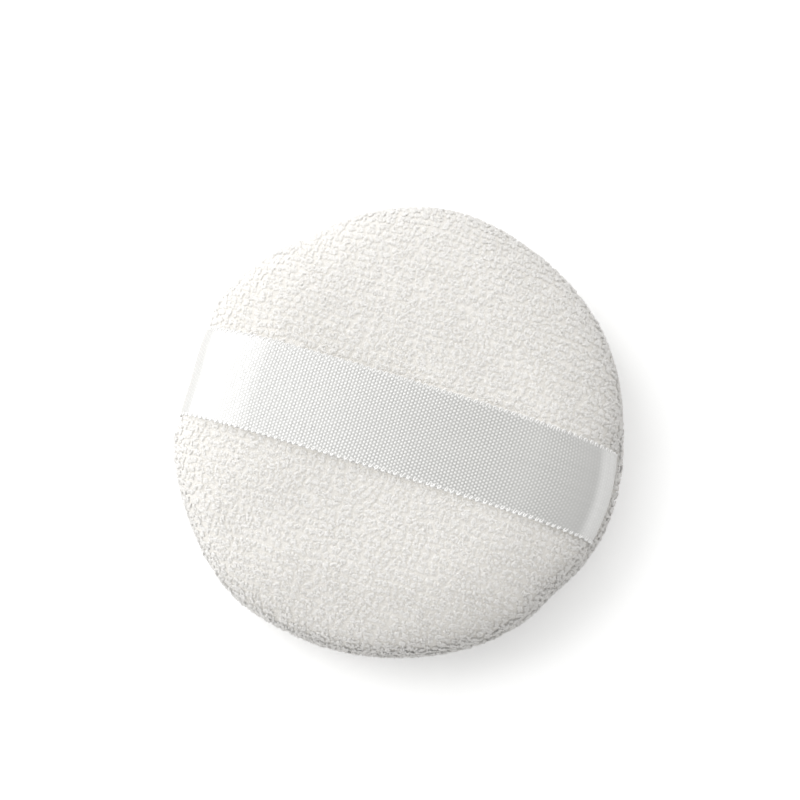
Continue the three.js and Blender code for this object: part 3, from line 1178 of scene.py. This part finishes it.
def floor_material():
    """Pale floor that shows white to the camera where it is lit and keeps the shadow."""
    material, tree, shader = new_material("pale_floor")
    shader.inputs["Base Color"].default_value = (0.86, 0.86, 0.855, 1)
    shader.inputs["Roughness"].default_value = 0.9
    shader.inputs["Specular IOR Level"].default_value = 0.1
    away = in_place(tree, "ShaderNodeVectorMath")
    away.operation = "LENGTH"
    glow = tree.nodes.new("ShaderNodeEmission")
    both = tree.nodes.new("ShaderNodeAddShader")
    strength = map_range(tree, away.outputs["Value"], 0.3, 0.55, 0.25, 0.7)
    tree.links.new(strength, glow.inputs["Strength"])
    tree.links.new(shader.outputs["BSDF"], both.inputs[0])
    tree.links.new(glow.outputs["Emission"], both.inputs[1])
    surface = tree.nodes["Material Output"].inputs["Surface"]
    camera_sees(tree, shader.outputs["BSDF"], both.outputs["Shader"], surface)
    return material


def lay_floor():
    """Wide round floor under the puff."""
    theta = np.arange(FLOOR_SEGMENTS) * TURN / FLOOR_SEGMENTS
    rings = np.array([0.2, 1.0, 4.0])
    x = rings[:, None] * np.cos(theta)
    y = rings[:, None] * np.sin(theta)
    points = np.stack([x, y, np.zeros_like(x)], axis=2).reshape(-1, 3)
    quads = grid_quads(len(rings), FLOOR_SEGMENTS, closed=True)
    floor = mesh_object("floor", points, quads, outlines=[np.arange(FLOOR_SEGMENTS)])
    floor.data.materials.append(floor_material())


def set_world(ambient):
    """Even white light from all round, and a white background for the camera."""
    world = bpy.data.worlds.new("studio")
    bpy.context.scene.world = world
    world.use_nodes = True
    tree = world.node_tree
    around = tree.nodes["Background"]
    around.inputs["Color"].default_value = WHITE
    around.inputs["Strength"].default_value = ambient
    white = add_node(tree, "ShaderNodeBackground", Color=WHITE, Strength=1.0)
    surface = tree.nodes["World Output"].inputs["Surface"]
    camera_sees(tree, around.outputs["Background"], white.outputs["Background"], surface)


def soft_box(name, direction, size, power):
    """A square soft light that faces the puff."""
    lamp = bpy.data.lights.new(name, "AREA")
    lamp.size = size
    lamp.energy = power
    box = bpy.data.objects.new(name, lamp)
    toward = Vector(direction).normalized()
    box.location = toward * LAMP_DISTANCE
    box.rotation_euler = toward.to_track_quat("Z", "Y").to_euler()
    box.visible_camera = False
    bpy.context.scene.collection.objects.link(box)


def set_camera(azimuth, elevation, roll, distance, lens, lift):
    """Camera at the photograph's angle, aimed so that the puff sits a little below the middle."""
    around = math.radians(azimuth)
    above = math.radians(elevation)
    flat = math.cos(above)
    back = Vector((math.sin(around) * flat, -math.cos(around) * flat, math.sin(above)))
    level = Vector((math.cos(around), math.sin(around), 0))
    upright = back.cross(level)
    turn = math.radians(roll)
    right = math.cos(turn) * level + math.sin(turn) * upright
    up = back.cross(right)
    aim = Vector((0, 0, SEAM_HEIGHT)) + lift * up
    lens_data = bpy.data.cameras.new("camera")
    lens_data.lens = lens
    lens_data.sensor_width = 36
    lens_data.clip_start = 0.01
    lens_data.clip_end = 20
    camera = bpy.data.objects.new("camera", lens_data)
    camera.location = aim + back * distance
    camera.rotation_euler = Matrix((right, up, back)).transposed().to_euler()
    bpy.context.scene.collection.objects.link(camera)
    bpy.context.scene.camera = camera


lay_floor()
set_world(ambient=0.612)
soft_box("key", (-0.84, 0.13, 0.52), size=0.9, power=6.2)
soft_box("gloss", (-0.365, 0.167, 0.916), size=0.25, power=0.45)
soft_box("fill", (0.975, 0.17, 0.08), size=0.5, power=0.6)
soft_box("back", (0.05, 0.88, 0.47), size=0.9, power=1.3)
set_camera(azimuth=42, elevation=77, roll=-24.2, distance=0.65, lens=189.7, lift=5.3 * MM)
bpy.context.scene.view_settings.view_transform = "Standard"
